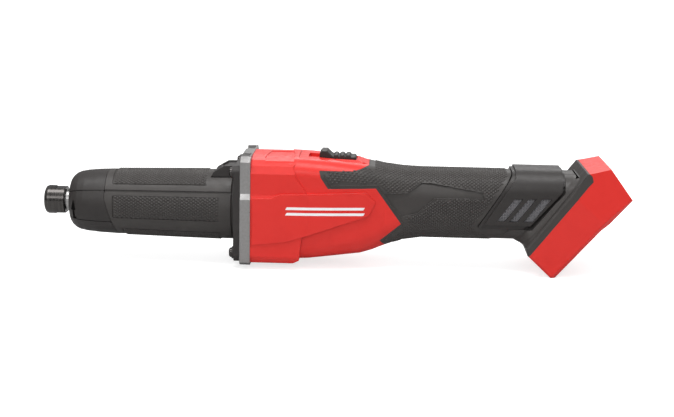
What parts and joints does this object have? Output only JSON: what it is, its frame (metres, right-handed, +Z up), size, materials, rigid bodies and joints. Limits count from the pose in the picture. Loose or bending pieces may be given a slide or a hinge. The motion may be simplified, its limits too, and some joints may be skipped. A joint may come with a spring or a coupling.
{
  "type": "straight die grinder",
  "caption": "Cordless straight die grinder with a collet spindle, gripped neck, slide switch, handle and slide-on battery foot; spindle, nut, switch and vent covers move.",
  "frame": {"origin": "on the spindle axis at the front face of the collet nut", "axes": "+X runs along the spindle axis from the collet to the battery foot, +Z is up toward the slide switch, -Y is the left side of the tool"},
  "size_m": [0.4449, 0.07, 0.0879],
  "materials": {
    "black_steel": "black oxide, satin",
    "ground_steel": "ground, bright",
    "ball_steel": "polished",
    "felt": "felt",
    "black_plastic": "fine satin",
    "cast_aluminium": "die cast, satin",
    "grip_rubber": "moulded, fine texture",
    "lamination": "stacked laminations",
    "magnet": "nickel plated",
    "copper": "bare copper",
    "white_plastic": "satin",
    "circuit_green": "solder mask",
    "red_plastic": "moulded, satin gloss",
    "screen_mesh": "woven wire",
    "capacitor_sleeve": "shrink sleeve",
    "wire_sleeve": "silicone sleeve"
  },
  "bodies": {
    "tool": {"neck_bearing_outers": "ground_steel", "rotor_bearing_outers": "ground_steel", "bearing_retainer": "ground_steel", "dust_seal": "felt", "nose_cap": "black_plastic", "rotation_arrows": "black_plastic", "neck_tube": "cast_aluminium", "neck_plate": "black_plastic", "neck_grip": "grip_rubber", "neck_screws": "black_steel", "preload_spring": "ground_steel", "motor_flange": "cast_aluminium", "stator_core": "lamination", "stator_coils": "copper", "stator_insulators": "white_plastic", "sensor_board": "circuit_green", "fan_baffle": "black_plastic", "housing_left": "red_plastic", "housing_right": "red_plastic", "housing_screws": "black_steel", "handle_grip_left": "grip_rubber", "handle_grip_right": "grip_rubber", "switch_module": "black_plastic", "switch_spring": "ground_steel", "electronics_tray": "cast_aluminium", "circuit_board": "circuit_green", "power_transistors": "black_plastic", "capacitors": "capacitor_sleeve", "phase_wires": "wire_sleeve", "battery_leads": "wire_sleeve", "terminal_block": "black_plastic", "terminal_blades": "copper"},
    "spindle": {"spindle": "ground_steel", "drive_coupling": "ground_steel", "rotor_shaft": "ground_steel", "rotor_core": "lamination", "rotor_magnets": "magnet", "cooling_fan": "black_plastic", "neck_bearing_inners": "ground_steel", "rotor_bearing_inners": "ground_steel", "bearing_spacer": "ground_steel"},
    "collet": {"collet": "ground_steel"},
    "nut": {"collet_nut": "black_steel"},
    "neck_balls": {"neck_bearing_balls": "ball_steel"},
    "rotor_balls": {"rotor_bearing_balls": "ball_steel"},
    "switch": {"switch_button": "black_plastic", "switch_carrier": "white_plastic"},
    "plunger": {"switch_plunger": "white_plastic"},
    "cover_left": {"vent_cover_left": "black_plastic", "vent_mesh_left": "screen_mesh"},
    "cover_right": {"vent_cover_right": "black_plastic", "vent_mesh_right": "screen_mesh"}
  },
  "joints": [
    {"name": "spindle_spin", "type": "hinge", "parent": "tool", "child": "spindle", "pos_m": [0, 0, 0], "axis": [1, 0, 0], "continuous": true},
    {"name": "neck_ball_orbit", "type": "hinge", "parent": "tool", "child": "neck_balls", "pos_m": [0, 0, 0], "axis": [1, 0, 0], "continuous": true},
    {"name": "rotor_ball_orbit", "type": "hinge", "parent": "tool", "child": "rotor_balls", "pos_m": [0, 0, 0], "axis": [1, 0, 0], "continuous": true},
    {"name": "collet_slide", "type": "slide", "parent": "spindle", "child": "collet", "axis": [-1, 0, 0], "range_m": [0, 0.0015]},
    {"name": "nut_turn", "type": "hinge", "parent": "collet", "child": "nut", "pos_m": [0, 0, 0], "axis": [-1, 0, 0], "range_deg": [0, 720]},
    {"name": "switch_slide", "type": "slide", "parent": "tool", "child": "switch", "axis": [-1, 0, 0], "range_m": [0, 0.0065], "stiffness_N_per_m": 300},
    {"name": "plunger_press", "type": "slide", "parent": "tool", "child": "plunger", "axis": [0, 0, -1], "range_m": [0, 0.0015]},
    {"name": "cover_left_off", "type": "slide", "parent": "tool", "child": "cover_left", "axis": [0, -1, 0], "range_m": [0, 0.04]},
    {"name": "cover_right_off", "type": "slide", "parent": "tool", "child": "cover_right", "axis": [0, 1, 0], "range_m": [0, 0.04]}
  ],
  "couplings": [
    {"joint": "neck_ball_orbit", "follows": "spindle_spin", "ratio": 0.38},
    {"joint": "rotor_ball_orbit", "follows": "spindle_spin", "ratio": 0.38},
    {"joint": "nut_turn", "follows": "collet_slide", "rad_per_m": 8377.6},
    {"joint": "plunger_press", "follows": "switch_slide", "ratio": 0.23077}
  ]
}
